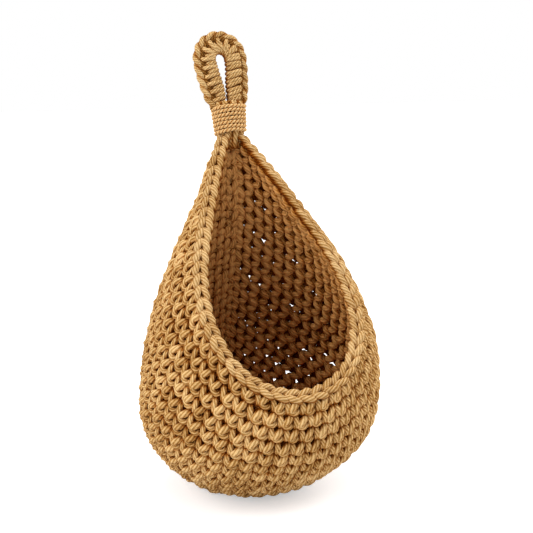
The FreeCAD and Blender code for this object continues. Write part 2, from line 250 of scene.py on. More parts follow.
@dataclass(frozen=True)
class PaintedCreviceShade:
    """Painted crevice shade: how a worked cord's colour darkens and warms where it lies deep or turns away from the
    open side, standing in for the shade and the light thrown between strands there.

    Args:
        low: height over the middle at which it is darkest, in millimetres.
        high: height at which it is bare.
        tone: how far the painted shade takes the tone down.
        turned: cosine to the open side at which it is darkest.
        facing: cosine at which it is bare.
        both: whether the work is open on both sides of its middle.
        inside: painted warm shade on the side that faces inward, if both are open.
        painted_inside_light: painted light on that side, how far its tone rises.
        behind: depths behind the middle between which that side begins.
    """

    low: float
    high: float
    tone: float
    turned: float = -0.25
    facing: float = 0.7
    both: bool = False
    inside: float = 0.0
    painted_inside_light: float = 0.0
    behind: Pair = (-1, 2)

    def applied(self, mesh: Mesh, corners: int, foot: Array, outward: Array) -> None:
        """Paints shade: takes the fall off a tube's tone values, where a smooth step of the height times one of the
        cosine is bare.

        What isn't bare is painted warmer too, and the side that faces inward gets painted light and painted warm
        shade.

        Args:
            mesh: the tube.
            corners: of its section.
            foot: for each ring a point in the middle of the work.
            outward: for each ring the direction of the open side.
        """
        rings, spoke = mesh.ringed(corners, len(foot))
        height = np.sum((rings - foot[:, None]) * outward[:, None], -1)
        cosine = np.sum(spoke * outward[:, None], -1)
        inner = self.inside * smooth(-height, *self.behind)
        if self.both:
            height, cosine = np.abs(height), cosine * np.sign(height)
        bare = smooth(height, self.low, self.high) * smooth(cosine, self.turned, self.facing)
        # Painted shade darkens and warms the tone; the inward side gets painted light.
        mesh.tones_and_painted_shade[: bare.size] -= self.tone * (1 - bare).ravel()
        mesh.tones_and_painted_shade[: bare.size] += self.painted_inside_light * inner.ravel()
        mesh.painted_shade_warmths[: bare.size] += np.maximum(1 - bare, inner).ravel()


@dataclass(frozen=True)
class Cord:
    """A round cord: its width, the corners of its section, the length of its plies' turn and the crevice shade
    painted into its colour.
    """

    width: float
    corners: int
    ply_turn: float
    painted_crevice_shade: PaintedCreviceShade | None = None

    def laid(self, path: Array, side: Array, foot: Array | None = None, outward: Array | None = None,
             widths: Array | float = 1.0, tones_and_painted_shade: Array | float = 0.0, closed: bool = False) -> Mesh:
        """The cord carried along a path.

        Each ring lies square to the path: point = path + radius * (cos a * u + sin a * w), where u is the given side
        direction made square to the path and w is path direction times u. An open end gets a middle point.

        Args:
            path: points of the middle line.
            side: for each point a direction that isn't along the path.
            foot: for each point one in the middle of the work, over which the painted crevice shade is measured.
            outward: for each point the direction of the work's open side, where it isn't the side direction.
            widths: factor on the cord's width, for all points or for each.
            tones_and_painted_shade: the cord's tone, or painted shade on hidden lengths, for all points or for each;
                painted crevice shade is added to it.
            closed: whether the end joins the start.

        Returns:
            The tube, its map giving turns of the plies along it and the share of a turn round it.
        """
        rings, sides = len(path), self.corners
        radii, tones_and_painted_shade = np.broadcast_to(self.width / 2 * widths, rings), np.broadcast_to(tones_and_painted_shade, rings)
        before, after = (np.roll(path, 1, 0), np.roll(path, -1, 0)) if closed else (
            np.concatenate([path[:1], path[:-1]]), np.concatenate([path[1:], path[-1:]]))
        along = unit(after - before)
        u = unit(side - along * np.sum(side * along, -1, keepdims=True))
        w = np.cross(along, u)
        ring = np.arange(sides)
        angle = (FULL_TURN * ring / sides)[None, :, None]
        spokes = np.cos(angle) * u[:, None] + np.sin(angle) * w[:, None]
        points = (path[:, None] + radii[:, None, None] * spokes).reshape(-1, 3)
        i, k = np.meshgrid(np.arange(rings if closed else rings - 1), ring, indexing="ij")
        square = ((0, 0), (0, 1), (1, 1), (1, 0))
        quads = np.stack([(i + a) % rings * sides + (k + b) % sides for a, b in square], -1)
        run = run_along(np.concatenate([path, path[:1]]) if closed else path)
        turns = run / run[-1] * round(run[-1] / self.ply_turn) if closed else run / self.ply_turn
        maps = np.stack([np.stack([turns[i + a], (k + b) / sides], -1) for a, b in square], -2)
        faces, all_maps, shade = [quads.reshape(-1, 4)], [maps.reshape(-1, 4, 2)], np.repeat(tones_and_painted_shade, sides)
        if not closed:
            first, end, follow = len(points), (rings - 1) * sides, (ring + 1) % sides
            faces += [np.stack([np.full(sides, first), follow, ring], -1),
                      np.stack([np.full(sides, first + 1), end + ring, end + follow], -1)]
            share = np.stack([ring / sides, (ring + 1) / sides, ring / sides], -1)
            all_maps += [np.stack([np.full((sides, 3), t), share], -1) for t in (turns[0], turns[-1])]
            points = np.concatenate([points, path[:1], path[-1:]])
            shade = np.concatenate([shade, tones_and_painted_shade[:1], tones_and_painted_shade[-1:]])
        mesh = Mesh(points, faces, all_maps, shade, np.zeros(len(points)))
        # Paints crevice shade into the tone and the warmth.
        if self.painted_crevice_shade is not None and foot is not None:
            self.painted_crevice_shade.applied(mesh, sides, foot, side if outward is None else outward)
        return mesh


@dataclass(frozen=True)
class Stitch:
    """One repeat of a worked cord.

    Args:
        knots: for each control point the place along the row in stitches, up or across the row in rises, out of the
            work in millimetres, and the cord's width as a share of the plain width.
        rings: rings of the tube in one repeat.
        pitch: nominal length of a stitch along the row.
        rise: nominal height of a row, or one millimetre.
    """

    knots: tuple[tuple[float, float, float, float], ...]
    rings: int
    pitch: float
    rise: float

    def course(self) -> tuple[Array, Array]:
        """The middle line of one repeat and a direction that stays beside it.

        The line is a uniform cubic B-spline on the control points, which repeat one stitch further on. The side
        direction is carried from ring to ring by the least turn, and the turn left over at the end of the repeat is
        spread over its rings, so that the next repeat joins without a twist.

        Returns:
            Rings by four (along, up, out, width) and rings by three (side direction along, up, out).
        """
        knots = np.array(self.knots)
        count = len(knots)
        place = np.arange(self.rings) * count / self.rings
        index = np.floor(place).astype(int)
        t = (place - index)[:, None]
        weights = ((1 - t) ** 3 / 6, (3 * t**3 - 6 * t**2 + 4) / 6,
                   (-3 * t**3 + 3 * t**2 + 3 * t + 1) / 6, t**3 / 6)
        line = np.zeros((self.rings, 4))
        for step, weight in zip((-1, 0, 1, 2), weights):
            shifted = knots[(index + step) % count].copy()
            shifted[:, 0] += (index + step) // count
            line += weight * shifted
        flat = line[:, :3] * (self.pitch, self.rise, 1)
        forward = unit(np.roll(flat, -1, 0) + (np.arange(self.rings)[:, None] == self.rings - 1)
                       * np.array([self.pitch, 0, 0]) - flat)
        sides = [np.array([0.0, 0.0, 1.0])]
        for here in np.concatenate([forward, forward[:1]]):
            carried = sides[-1] - here * (sides[-1] @ here)
            sides.append(carried / np.linalg.norm(carried))
        start, end, axis = sides[1], sides[-1], forward[0]
        slip = math.atan2(np.cross(end, start) @ axis, end @ start)
        beside = np.array(sides[1:-1])
        angle = slip * np.arange(self.rings)[:, None] / self.rings
        return line, beside * np.cos(angle) + np.cross(forward, beside) * np.sin(angle)

    def worked(self, count: int, number: int, weave: "Weave", cord: Cord, place: Place,
               closed: bool = False) -> tuple[Mesh, Array, Array, Array]:
        """A row of the repeat, whose stitches are each shifted a little.

        Args:
            count: stitches in the row.
            number: the row's number, which sets the random draw.
            weave: how unevenly it is worked.
            cord: what it is worked with.
            place: gives the point and the directions along, up and out of the work at places along and up the row.
            closed: whether the row's end joins its start.

        Returns:
            The mesh, and for each ring the height in the row, the distance out of the work and the direction up.
        """
        line, beside = self.course()
        along, up, out, width, tone = weave.spread(count, number)
        blend = weave.eased * np.arange(self.rings)[None, :] / self.rings

        def shift(values: Array) -> Array:
            """Each stitch's value, going over to the next one's along the stitch where the work is eased."""
            return (values[:, None] * (1 - blend) + np.roll(values, -1)[:, None] * blend).ravel()

        s = (np.arange(count)[:, None] + line[None, :, 0]).ravel() + shift(along)
        t = np.tile(line[:, 1], count) + shift(up)
        n = np.tile(line[:, 2], count) * (weave.relief + weave.stretch * shift(out)) + weave.move * shift(out)
        point, forward, rise, outward = place(s, t)
        side = np.tile(beside, (count, 1))
        turned = side[:, :1] * forward + side[:, 1:2] * rise + side[:, 2:] * outward
        mesh = cord.laid(point + n[:, None] * outward, turned, point, outward,
                         np.tile(line[:, 3], count) * (1 + shift(width)), np.repeat(tone, self.rings), closed)
        return mesh, t, n, rise


@dataclass(frozen=True)
class Weave:
    """How unevenly a cord is worked, as a spread for each stitch.

    Args:
        along: of the stitch's place, in stitches.
        up: of its height, in rises.
        out: of its standing out, in millimetres.
        width: of the cord's width.
        tone: of the cord's tone.
        seed: of the random draws.
        eased: whether each stitch goes over to the next one evenly.
        relief: factor on how far the stitch goes out of the work.
        stretch: how far its standing out adds to that factor.
        move: how far its standing out moves it.
    """

    along: float
    up: float
    out: float
    width: float
    tone: float
    seed: int
    eased: bool = False
    relief: float = 1.0
    stretch: float = 0.0
    move: float = 1.0

    def spread(self, count: int, number: int) -> tuple[Array, ...]:
        """Draws one set of values for each stitch of a row.

        Args:
            count: stitches in the row.
            number: the row's number, which sets the draw.

        Returns:
            Five arrays: along, up, out, width and tone.
        """
        draw = np.random.default_rng(self.seed * ROWS_PER_SEED + number)
        return tuple(draw.normal(0, s, count) for s in (self.along, self.up, self.out, self.width, self.tone))


@dataclass(frozen=True)
class PocketForm:
    """The leaning teardrop that the pocket is worked to.

    The outer section is a circle whose radius grows from the base to the belly as one minus a power of the height
    left, and shrinks to the neck as a cosine, with a slight waist. Its centre follows a cubic through four heights.
    The mouth is an arc in side view, bowed out between the lip and the neck.
    """

    base_radius: float = 44
    belly_radius: float = 103
    belly_height: float = 91
    belly_forward: float = 25.5
    shoulder_height: float = 200
    shoulder_forward: float = 18
    fullness: float = 2.5
    neck_radius: float = 12
    neck_height: float = 304
    neck_setback: float = 44.5
    waist: float = 1.8
    waist_height: float = 243
    waist_span: float = 28
    wall: float = 11.5
    floor: float = 7.7
    lip_height: float = 112.5
    bow: float = 2
    heart: Triple = (0, -8, 118)
    farthest: float = 420.0
    halvings: int = 40
    start_low: Pair = (22, 7.7)
    start_high: Pair = (66, 62)
    rim_points: int = 801
    back_points: int = 40
    margin: float = 1

    def outer_radius(self, z: Array) -> Array:
        """Radius of the outer section.

        Args:
            z: heights.

        Returns:
            The radius at each height.
        """
        low = self.base_radius + (self.belly_radius - self.base_radius) * (
            1 - np.clip(1 - z / self.belly_height, 0, 1) ** self.fullness)
        share = np.clip((z - self.belly_height) / (self.neck_height - self.belly_height), 0, 1)
        high = self.neck_radius + (self.belly_radius - self.neck_radius) * np.cos(np.pi / 2 * share)
        high = high - self.waist * np.exp(-(((z - self.waist_height) / self.waist_span) ** 2))
        return np.where(z < self.belly_height, low, high)

    def middle_radius(self, z: Array) -> Array:
        """Radius of the section half way through the wall, whose thickness is measured square to the wall."""
        return self.outer_radius(z) - self.wall / 2 * np.hypot(1, growth(self.outer_radius, z))

    def centre_y(self, z: Array) -> Array:
        """Where the section's centre lies in Y, by Newton's form of the cubic through the four heights.

        Args:
            z: heights.

        Returns:
            The place at each height.
        """
        heights = (0.0, self.belly_height, self.shoulder_height, self.neck_height)
        places = (0.0, -self.belly_forward, -self.shoulder_forward, self.neck_setback)
        first = [(places[i + 1] - places[i]) / (heights[i + 1] - heights[i]) for i in range(3)]
        second = [(first[i + 1] - first[i]) / (heights[i + 2] - heights[i]) for i in range(2)]
        third = (second[1] - second[0]) / heights[3]
        return z * (first[0] + (z - heights[1]) * (second[0] + third * (z - heights[2])))

    def rim(self) -> Array:
        """Points of the rim, from the left side of the neck down over the lip and up to the neck's right side.

        The share goes from -1 through 0 at the lip to 1. The height rises with its square, the depth comes from the
        mouth's arc, and the width from the section at that height.

        Returns:
            The points.
        """
        share = np.linspace(-1, 1, self.rim_points)
        lip = np.array([self.centre_y(self.lip_height) - self.middle_radius(np.array(self.lip_height)),
                        self.lip_height])
        apex = np.array([self.neck_setback, self.neck_height])
        chord = apex - lip
        length = np.linalg.norm(chord)
        outward = np.array([-chord[1], chord[0]]) / length
        radius = (length**2 / 4 + self.bow**2) / (2 * self.bow)
        centre = (lip + apex) / 2 + outward * (self.bow - radius)
        z = self.lip_height + (self.neck_height - self.lip_height) * share**2
        y = centre[0] - np.sqrt(radius**2 - (z - centre[1]) ** 2)
        half = np.sqrt(np.maximum(self.middle_radius(z) ** 2 - (y - self.centre_y(z)) ** 2, 0))
        return np.stack([np.copysign(half, share), y, z], -1)

    def border(self, count: int) -> Array:
        """The pocket's upper border: the back of the neck, down the left rim, over the lip, up and back again.

        Args:
            count: points wanted, the first and last being the same place.

        Returns:
            The points, evenly spaced.
        """
        rim = self.rim()
        radius = rim[-1, 0]
        angle = np.linspace(0, np.pi / 2, self.back_points)[:-1]
        back = np.stack([radius * np.cos(angle), self.neck_setback + radius * np.sin(angle),
                         np.full(len(angle), self.neck_height)], -1)
        middle = np.array([[0, self.neck_setback + radius, self.neck_height]])
        left = back[::-1] * (-1, 1, 1)
        return respaced(np.concatenate([middle, left, rim, back[1:], middle]), count)

    def reached(self, directions: Array) -> Array:
        """Where rays from the heart of the pocket meet the middle of its wall.

        The distance is halved down between inside and outside: a point is inside if it is above the floor's middle
        and nearer to the section's centre than the middle radius.

        Args:
            directions: unit vectors.

        Returns:
            The points.
        """
        near, far = np.zeros(directions.shape[:-1]), np.full(directions.shape[:-1], self.farthest)
        heart = np.array(self.heart)
        for _ in range(self.halvings):
            half = (near + far) / 2
            p = heart + half[..., None] * directions
            inside = (p[..., 2] > self.floor) & (p[..., 2] < self.neck_height + self.margin) & (
                np.hypot(p[..., 0], p[..., 1] - self.centre_y(p[..., 2])) < self.middle_radius(p[..., 2]))
            near, far = np.where(inside, half, near), np.where(inside, far, half)
        return heart + near[..., None] * directions


@dataclass
class Fabric:
    """The pocket's wall as a sheet of rounds: a place is a share of a round and a number of rounds.

    Lines run from an oval start on the lower back to the border, each turning evenly as seen from the heart of the
    pocket, and are divided into equal rounds. Each round is then divided evenly.
    """

    form: PocketForm
    rounds: int = 18
    steps: int = 6
    columns: int = 720
    line_points: int = 160
    points: Array = field(init=False)
    across: Array = field(init=False)
    up: Array = field(init=False)
    out: Array = field(init=False)

    def __post_init__(self) -> None:
        """Works out the grid of points and their directions."""
        form = self.form
        heart = np.array(form.heart)
        border = form.border(self.columns + 1)
        share = np.abs(np.linspace(-1, 1, self.columns + 1))[:, None]
        low, high = (np.array([0, *p]) for p in (form.start_low, form.start_high))
        a, b = unit(low + (high - low) * share - heart), unit(border - heart)
        angle = np.arccos(np.clip(np.sum(a * b, -1), -1, 1))[:, None, None]
        part = np.linspace(0, 1, self.line_points)[None, :, None]
        lines = (np.sin((1 - part) * angle) * a[:, None] + np.sin(part * angle) * b[:, None]) / np.sin(angle)
        rows = np.stack([respaced(line, self.rounds * self.steps + 1) for line in form.reached(unit(lines))], 1)
        self.points = grid = np.stack([respaced(row, self.columns + 1) for row in rows])
        across = np.gradient(grid, axis=1)
        across[:, [0, -1]] = (across[:, [0]] + across[:, [-1]]) / 2
        out = np.cross(across, np.gradient(grid, axis=0))
        out[0] = out[1]
        self.out = unit(out)
        self.across = unit(across)
        self.up = np.cross(self.out, self.across)

    def lengths(self) -> Array:
        """The length of each round's upper edge."""
        rows = self.points[:: self.steps]
        return np.linalg.norm(np.diff(rows, axis=1), axis=-1).sum(1)

    def place(self, share: Array, level: Array) -> tuple[Array, ...]:
        """Point and directions at places on the sheet, read between the grid's points in proportion.

        Args:
            share: shares of a round, which may go past one.
            level: numbers of rounds from the start.

        Returns:
            Point, direction along the round, up the rounds and out of the sheet.
        """
        x = np.mod(share, 1) * self.columns
        y = np.clip(level, 0, self.rounds) * self.steps
        i = np.clip(np.floor(y).astype(int), 0, len(self.points) - 2)
        j = np.clip(np.floor(x).astype(int), 0, self.columns - 1)
        p, q = (y - i)[..., None], (x - j)[..., None]

        def read(values: Array) -> Array:
            """Weighs the four grid values round each place."""
            return (values[i, j] * (1 - p) * (1 - q) + values[i + 1, j] * p * (1 - q)
                    + values[i, j + 1] * (1 - p) * q + values[i + 1, j + 1] * p * q)

        return read(self.points), unit(read(self.across)), unit(read(self.up)), unit(read(self.out))


@dataclass
class Pocket:
    """The crocheted pocket, rounds of stitches that are each one cord.

    Painted shade: the groove between two rounds is darkened and warmed in colour on the undersides of strands,
    between two cosines, and on what goes under the next round, between two heights in the row, standing in for the
    next round's shade.
    """

    fabric: Fabric
    # Painted crevice shade, with painted light and painted warm shade on the inward side.
    cord: Cord = Cord(width=5.0, corners=7, ply_turn=25.0, painted_crevice_shade=PaintedCreviceShade(
        low=0.8, high=4.6, tone=2.1, both=True, inside=0.55, painted_inside_light=2.3))
    stitch: Stitch = Stitch(
        knots=(
            (0.66, 1.02, -1.4, 0.95), (0.61, 0.93, 0.8, 1.05), (0.47, 0.74, 2.8, 1.25), (0.27, 0.52, 3.9, 1.36),
            (0.06, 0.33, 3.7, 1.22), (0.13, 0.14, 3.2, 1.10), (0.37, 0.09, 3.5, 1.12), (0.60, 0.20, 2.4, 1.05),
            (0.62, 0.42, -0.8, 0.95), (0.44, 0.60, -2.6, 1.05), (0.55, 0.72, -3.9, 1.22), (0.80, 0.74, -3.9, 1.22),
            (0.97, 0.82, -2.4, 1.05), (0.86, 0.96, -0.4, 0.95), (0.82, 0.88, 1.8, 1.00), (0.90, 0.62, 3.4, 1.10),
            (0.93, 0.32, 3.5, 1.10), (0.87, 0.08, 1.4, 1.00), (0.92, 0.02, -1.2, 0.95), (1.02, 0.12, -3.0, 1.10),
            (0.80, 0.22, -3.9, 1.24), (0.52, 0.26, -3.8, 1.24), (0.60, 0.45, -1.4, 0.90), (0.95, 0.55, -0.6, 0.75),
            (1.35, 0.78, -0.8, 0.75)),
        rings=40, pitch=12.2, rise=12.2)
    weave: Weave = Weave(along=0.05, up=0.05, out=0.35, width=0.05, tone=0.35, seed=7, eased=True, stretch=0.1,
                         move=0.6)
    groove_under: Pair = (0.15, 0.95)
    groove_top: Pair = (0.72, 1.0)
    groove_painted_shade: float = 2.1
    groove_painted_warmth: float = 0.8

    def round_mesh(self, number: int) -> Mesh:
        """One round of stitches, a whole number of them, laid on the sheet of rounds.

        Args:
            number: the round's number from the start, from one.

        Returns:
            The mesh.
        """
        count = round(self.fabric.lengths()[number - 1: number + 1].mean() / self.stitch.pitch)

        def place(s: Array, t: Array) -> tuple[Array, ...]:
            """Finds the round's places on the sheet."""
            return self.fabric.place(s / count, number - 1 + t)

        mesh, t, n, rise = self.stitch.worked(count, number, self.weave, self.cord, place, closed=True)
        spoke = mesh.ringed(self.cord.corners, len(t))[1]
        # Painted shade in the groove: undersides of strands and what goes under the next round are darkened and
        # warmed.
        beneath = smooth(-np.sum(spoke * rise[:, None], -1), *self.groove_under)
        groove = np.maximum(beneath, smooth(t, *self.groove_top)[:, None]) * (n > 0)[:, None]
        mesh.tones_and_painted_shade -= self.groove_painted_shade * groove.ravel()
        mesh.painted_shade_warmths += self.groove_painted_warmth * groove.ravel()
        return mesh

    def built(self) -> list[bpy.types.Object]:
        """Makes the pocket's pieces, each a third of the rounds.

        Returns:
            The pieces.
        """
        names = ("pocket_start_rounds", "pocket_belly_rounds", "pocket_mouth_rounds")
        nodes = ("base_round", "bowl_wall", "hood_wall")
        thirds = np.array_split(np.arange(1, self.fabric.rounds + 1), len(names))
        meshes = [Mesh.joined([self.round_mesh(int(number)) for number in third]) for third in thirds]
        return [dressed(mesh, name, Slot.POCKET, node) for mesh, name, node in zip(meshes, names, nodes)]


@dataclass(frozen=True)
class Neck:
    """The leaning axis of the neck and the cone of the gathered top, in directions across, back and up the neck."""

    foot: Triple = (0, 44.5, 304)
    tilt: float = 14
    foot_radius: float = 11.2
    top_radius: float = 13.0
    height: float = 27.75

    def turned(self, local: Array) -> Array:
        """Directions of the neck in the part's frame."""
        c, s = math.cos(math.radians(self.tilt)), math.sin(math.radians(self.tilt))
        return local @ np.array([[1, 0, 0], [0, c, -s], [0, s, c]])

    def placed(self, local: Array) -> Array:
        """Points of the neck in the part's frame."""
        return self.turned(local) + np.array(self.foot)

    def joined(self, meshes: list[Mesh]) -> Mesh:
        """One mesh of several that are given in the neck's directions, in the part's frame."""
        mesh = Mesh.joined(meshes)
        mesh.points = self.placed(mesh.points)
        return mesh

    def slope(self) -> float:
        """How much the cone's radius grows with the height."""
        return (self.top_radius - self.foot_radius) / self.height

    def around(self, angle: Array, out: Array, height: Array) -> tuple[Array, Array, Array]:
        """Points round the neck.

        Args:
            angle: their angles.
            out: their distances out of the cone.
            height: their heights.

        Returns:
            The points, their feet on the axis and their directions from it.
        """
        outward = np.stack([np.cos(angle), np.sin(angle), 0 * angle], -1)
        foot = np.stack([0 * height, 0 * height, height], -1)
        radius = self.foot_radius + self.slope() * np.clip(height, 0, None) + out
        return outward * radius[:, None] + foot, foot, outward


@dataclass
class Edging:
    """The chain edging that is worked on the rim, from one side of the neck to the other.

    The chain is seated on the rim and shifted outward, more so at the neck. It rolls from facing along the fabric
    towards facing out of it, more so above the belly. Its ends are tucked up under the binding.
    """

    fabric: Fabric
    neck: Neck
    # Painted crevice shade darkens the chain's flanks and dips.
    cord: Cord = Cord(width=5.3, corners=8, ply_turn=25.0, painted_crevice_shade=PaintedCreviceShade(
        low=-1.6, high=2.8, tone=2.6, turned=-0.9, facing=0.2))
    stitch: Stitch = Stitch(
        knots=(
            (-0.05, -0.3, -2.0, 0.90), (0.20, -1.5, 1.0, 1.05), (0.55, -3.0, 2.4, 1.15), (0.90, -4.2, 1.8, 1.08),
            (1.15, -4.3, -0.6, 0.95), (1.20, -2.2, -3.0, 0.90), (1.20, 0.0, -3.6, 0.90), (1.20, 2.2, -3.0, 0.90),
            (1.15, 4.3, -0.6, 0.95), (0.90, 4.2, 1.8, 1.08), (0.55, 3.0, 2.4, 1.15), (0.20, 1.5, 1.0, 1.05),
            (-0.05, 0.3, -2.0, 0.90), (0.20, 0.0, -4.0, 0.85), (0.60, 0.0, -4.3, 0.85)),
        rings=32, pitch=11.0, rise=1.0)
    weave: Weave = Weave(along=0.03, up=0.12, out=0.15, width=0.04, tone=0.3, seed=11, relief=0.7)
    row: int = 1
    path_points: int = 600
    seat: float = 2.0
    shift: Pair = (1.0, 1.6)
    shift_height: float = 260
    roll: Pair = (40, 62)
    roll_heights: Pair = (150, 240)
    tuck: float = 6.0

    def lines(self) -> tuple[Array, Array, Array]:
        """The line that the chain lies on.

        Returns:
            Its points, evenly spaced, and for each the directions across the chain and out of it.
        """
        form = self.fabric.form
        rim = form.rim()
        rise = self.neck.turned(np.array([0, 0, self.tuck]))
        rim = respaced(np.concatenate([rim[:1] + rise, rim, rim[-1:] + rise]), self.path_points)
        along = unit(np.gradient(rim, axis=0))
        z = np.minimum(rim[:, 2], form.neck_height - form.margin)
        radial = unit(rim - np.stack([0 * z, form.centre_y(z), rim[:, 2]], -1))
        lean = -radial[:, 1] * growth(form.centre_y, z) - growth(form.outer_radius, z)
        normal = unit(np.stack([radial[:, 0], radial[:, 1], lean], -1))
        inward = unit(np.cross(normal, along))
        low, high = self.roll
        turn = np.radians(low + (high - low) * smooth(z, *self.roll_heights))[:, None]
        facing = unit(inward * np.cos(turn) + normal * np.sin(turn))
        low, high = self.shift
        shift = low + (high - low) * smooth(z, self.shift_height, form.neck_height)[:, None]
        return rim + self.seat * inward + shift * normal, np.cross(facing, along), facing

    def built(self) -> bpy.types.Object:
        """Works a whole number of chain stitches along the rim.

        Returns:
            The piece.
        """
        lines = self.lines()
        count = round(run_along(lines[0])[-1] / self.stitch.pitch)
        stations = np.linspace(0, count, self.path_points)

        def place(s: Array, t: Array) -> tuple[Array, ...]:
            """Places on the chain, read between the line's points in proportion."""
            point, across, facing = (np.stack([np.interp(s, stations, v) for v in values.T], -1) for values in lines)
            across, facing = unit(across), unit(facing)
            return point + t[:, None] * across, np.cross(across, facing), across, facing

        mesh = self.stitch.worked(count, self.row, self.weave, self.cord, place)[0]
        return dressed(mesh, "mouth_chain", Slot.EDGING, "mouth_edging")


@dataclass
class Gather:
    """The gathered top under the binding: strands side by side on the neck's cone, round a plain middle that is
    painted dark as shade.

    The strands wave a little and draw together below the neck's foot. A reach is how far a piece goes up from the
    foot, or below it, and how far over the top.
    """

    neck: Neck
    strands: int = 9
    points: int = 18
    reach: Pair = (-12, 1.5)
    depth: float = 3.3
    draw_in: float = 0.3
    draw_in_height: float = 2
    wave: float = 0.05
    wave_length: float = 6
    tone: Pair = (0, 0.3)
    # Painted crevice shade darkens the strands' sides.
    cord: Cord = Cord(width=6.4, corners=10, ply_turn=25.0, painted_crevice_shade=PaintedCreviceShade(
        low=5.0, high=9.5, tone=2.4, turned=-0.1, facing=0.8))
    middle_points: int = 6
    middle_reach: Pair = (6, 1)
    middle_cord: Cord = Cord(width=15.0, corners=12, ply_turn=15.0)
    seed: int = 3

    def heights(self, reach: Pair, count: int) -> Array:
        """Even heights up the neck."""
        return np.linspace(reach[0], self.neck.height + reach[1], count)

    def built(self) -> bpy.types.Object:
        """Makes the strands and the middle, each a tube from below the binding to above it.

        Returns:
            The piece.
        """
        height = self.heights(self.reach, self.points)
        out = -self.depth - self.draw_in * np.clip(self.draw_in_height - height, 0, None)
        draw = np.random.default_rng(self.seed)
        meshes = []
        for strand in range(self.strands):
            angle = FULL_TURN * strand / self.strands + self.wave * np.sin(height / self.wave_length + strand)
            path, foot, outward = self.neck.around(angle, out, height)
            meshes.append(self.cord.laid(path, outward, foot, tones_and_painted_shade=draw.normal(*self.tone)))
        height = self.heights(self.middle_reach, self.middle_points)
        _, foot, outward = self.neck.around(0 * height, 0 * height, height)
        meshes.append(self.middle_cord.laid(foot, outward, tones_and_painted_shade=HIDDEN_PAINTED_SHADE))
        return dressed(self.neck.joined(meshes), "neck_strands", Slot.POCKET, "neck_gather")


@dataclass
class Binding:
    """The thinner cord wound round the neck, of two strands twisted together, over the gathered top.

    The turns waver in height, and the spare share of a turn at both ends is buried in the neck.
    """

    neck: Neck
    cord: float = 3.0
    clearance: float = 0.15
    pitch: float = 3.45
    turns: int = 7
    first: float = 1.8
    spare: float = 0.22
    buried: float = 9
    points: int = 900
    waver: float = 0.16
    waver_lines: int = 3
    waver_drift: float = 1.3
    strands: int = 2
    # Painted crevice shade darkens the grooves between the strands.
    strand: Cord = Cord(width=2.12, corners=7, ply_turn=5.0, painted_crevice_shade=PaintedCreviceShade(
        low=0.5, high=1.4, tone=2.0, turned=-0.9, facing=0.3))
    strand_out: float = 0.18
    lay: float = 7.0
    # The mean tone lifts the binding's colour, partly for the thinner cord's paler colour and partly as painted
    # light.
    tone: Pair = (1.1, 0.2)
    seed: int = 5

    def built(self) -> bpy.types.Object:
        """Winds the strands.

        The middle line is a helix on the cone, angle = 2 pi turn + pi / 2 and height = first + pitch turn, which is
        drawn into the neck at both ends. Each strand goes round it once in the lay's length.

        Returns:
            The piece.
        """
        turn = np.linspace(-self.spare, self.turns + self.spare, self.points)
        angle = FULL_TURN * turn + np.pi / 2
        height = self.first + self.pitch * np.clip(turn, 0, self.turns)
        height = height + self.waver * np.sin(self.waver_lines * angle + self.waver_drift * turn)
        buried = self.buried * (np.clip(-turn, 0, 1) + np.clip(turn - self.turns, 0, 1))
        out = (self.cord / 2 + self.clearance) / math.cos(math.atan(self.neck.slope()))
        line, _, outward = self.neck.around(angle, out - buried, height)
        upward = np.cross(outward, unit(np.gradient(line, axis=0)))
        run = run_along(line)
        draw = np.random.default_rng(self.seed)
        meshes = []
        for strand in range(self.strands):
            twist = (FULL_TURN * (run / self.lay + strand / self.strands))[:, None]
            spoke = np.cos(twist) * outward + np.sin(twist) * upward
            path = line + ((self.cord - self.strand.width) / 2 + self.strand_out) * spoke
            meshes.append(self.strand.laid(path, spoke, line, tones_and_painted_shade=draw.normal(*self.tone)))
        return dressed(self.neck.joined(meshes), "neck_winding", Slot.BINDING, "neck_binding")


